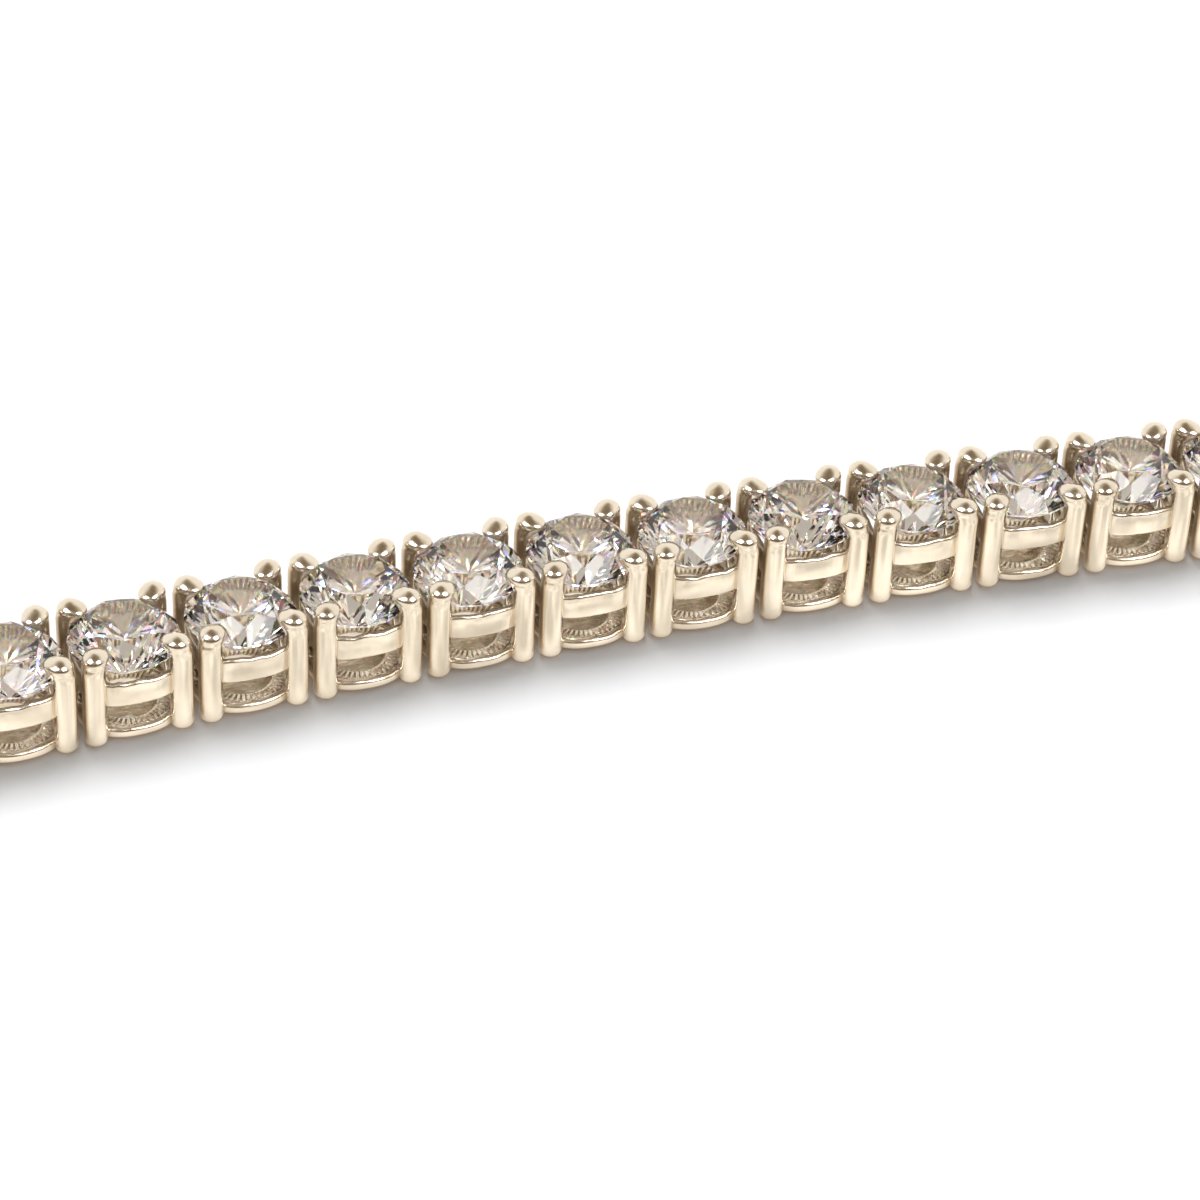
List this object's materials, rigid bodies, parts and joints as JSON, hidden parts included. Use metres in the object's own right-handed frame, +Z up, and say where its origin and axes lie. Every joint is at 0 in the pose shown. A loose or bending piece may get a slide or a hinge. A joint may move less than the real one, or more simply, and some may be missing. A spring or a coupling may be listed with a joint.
{
  "type": "tennis bracelet",
  "caption": "Closed line of round cut stones in four-post silver settings, hinged link to link, with a plain box clasp, lying stones up.",
  "frame": {"origin": "on the surface the bracelet lies on, under the middle of the whole loop", "axes": "+Z up through the stones; +X along the long gentle arc, whose outer side faces +Y"},
  "size_m": [0.0804, 0.0468, 0.0042],
  "materials": {
    "silver": "polished, rhodium-plated silver with a warm tint",
    "crystal": "clear, brilliant-cut and polished"
  },
  "bodies": {
    "root": {"clasp": "silver", "setting_chain_left": "silver", "setting_12": "silver", "setting_13": "silver", "setting_14": "silver", "setting_15": "silver", "setting_16": "silver", "setting_17": "silver", "setting_18": "silver", "setting_19": "silver", "setting_20": "silver", "setting_21": "silver", "setting_22": "silver", "setting_23": "silver", "setting_24": "silver", "setting_25": "silver", "setting_26": "silver", "setting_chain_right": "silver", "stone_01": "crystal", "stone_02": "crystal", "stone_03": "crystal", "stone_04": "crystal", "stone_05": "crystal", "stone_06": "crystal", "stone_07": "crystal", "stone_08": "crystal", "stone_09": "crystal", "stone_10": "crystal", "stone_11": "crystal", "stone_12": "crystal", "stone_13": "crystal", "stone_14": "crystal", "stone_15": "crystal", "stone_16": "crystal", "stone_17": "crystal", "stone_18": "crystal", "stone_19": "crystal", "stone_20": "crystal", "stone_21": "crystal", "stone_22": "crystal", "stone_23": "crystal", "stone_24": "crystal", "stone_25": "crystal", "stone_26": "crystal", "stone_27": "crystal", "stone_28": "crystal", "stone_29": "crystal", "stone_30": "crystal", "stone_31": "crystal", "stone_32": "crystal", "stone_33": "crystal", "stone_34": "crystal", "stone_35": "crystal", "stone_36": "crystal", "stone_37": "crystal", "stone_38": "crystal", "stone_39": "crystal", "stone_40": "crystal"}
  },
  "joints": []
}
